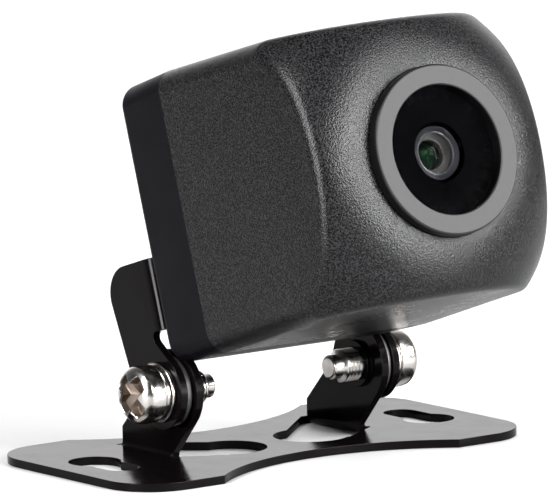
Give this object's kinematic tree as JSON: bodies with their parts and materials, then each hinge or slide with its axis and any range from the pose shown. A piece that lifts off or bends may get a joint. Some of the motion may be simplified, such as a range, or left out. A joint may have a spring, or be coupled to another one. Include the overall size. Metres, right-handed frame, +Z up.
{
  "type": "backup camera",
  "caption": "Small domed-front reversing camera in a sealed two-shell housing, held by a tilting U bracket on a stamped base plate with two ears and keyholes.",
  "frame": {"origin": "centre of the underside of the base plate, which rests on the vehicle", "axes": "+Z up from the plate, the lens faces -Y, +X along the tilt axis to the right as seen from behind the camera looking out at the lens side"},
  "size_m": [0.058, 0.0555, 0.0541],
  "materials": {
    "black_steel": "gloss black paint on sheet steel",
    "bright_steel": "bright zinc plate",
    "black_screw": "black oxide",
    "grained_plastic": "fine spark-eroded grain",
    "smooth_plastic": "satin",
    "ring_plastic": "satin grey front, black sides",
    "window_glass": "polished",
    "mask_black": "gloss black",
    "barrel_black": "matt black",
    "ring_metal": "turned",
    "lens_glass": "coated",
    "filter_glass": "coated",
    "rubber": "matt",
    "brass": "turned",
    "board": "solder mask over laminate",
    "chip": "moulded",
    "header_plastic": "moulded",
    "ferrite": "pressed powder",
    "can_aluminium": "drawn can",
    "ceramic": "fired"
  },
  "bodies": {
    "base": {"base_bracket": "black_steel"},
    "camera": {"aperture_stop": "barrel_black", "board_header": "header_plastic", "board_screws": "bright_steel", "board_spacers": "brass", "bracket_screws": "black_screw", "cable_gland": "rubber", "cable_header": "header_plastic", "camera_bracket": "black_steel", "cover_glass": "window_glass", "filter_capacitor": "can_aluminium", "front_housing": "grained_plastic", "front_lens": "lens_glass", "gland_ring": "header_plastic", "holder_screws": "bright_steel", "housing_screws": "black_screw", "housing_seal": "rubber", "image_sensor": "chip", "ir_cut_filter": "filter_glass", "left_friction_washer": "rubber", "lens_barrel": "barrel_black", "lens_holder": "barrel_black", "lens_lock_ring": "brass", "lens_retaining_ring": "ring_metal", "lens_ring": "ring_plastic", "lens_spacers": "barrel_black", "light_mask": "mask_black", "power_board": "board", "power_inductor": "ferrite", "rear_cover": "smooth_plastic", "rear_lens": "lens_glass", "right_friction_washer": "rubber", "screw_seals": "rubber", "second_lens": "lens_glass", "sensor_board": "board", "sensor_glass": "filter_glass", "signal_processor": "chip", "small_components": "ceramic", "third_lens": "lens_glass", "voltage_regulator": "chip", "window_seal": "rubber"},
    "left_washers": {"left_flat_washer": "bright_steel", "left_spring_washer": "bright_steel"},
    "left_screw": {"left_pivot_screw": "bright_steel"},
    "right_washers": {"right_flat_washer": "bright_steel", "right_spring_washer": "bright_steel"},
    "right_screw": {"right_pivot_screw": "bright_steel"}
  },
  "joints": [
    {"name": "tilt", "type": "hinge", "parent": "base", "child": "camera", "pos_m": [0, -0.00141, 0.00878], "axis": [1, 0, 0], "range_deg": [-78, 30]},
    {"name": "left_screw_travel", "type": "slide", "parent": "base", "child": "left_washers", "axis": [-1, 0, 0], "range_m": [0, 0.0042]},
    {"name": "left_screw_turn", "type": "hinge", "parent": "left_washers", "child": "left_screw", "pos_m": [0, -0.00141, 0.00878], "axis": [-1, 0, 0], "range_deg": [0, 2160.1]},
    {"name": "right_screw_travel", "type": "slide", "parent": "base", "child": "right_washers", "axis": [1, 0, 0], "range_m": [0, 0.0042]},
    {"name": "right_screw_turn", "type": "hinge", "parent": "right_washers", "child": "right_screw", "pos_m": [0, -0.00141, 0.00878], "axis": [1, 0, 0], "range_deg": [0, 2160.1]}
  ],
  "couplings": [
    {"joint": "left_screw_turn", "follows": "left_screw_travel", "rad_per_m": 8976},
    {"joint": "right_screw_turn", "follows": "right_screw_travel", "rad_per_m": 8976}
  ]
}
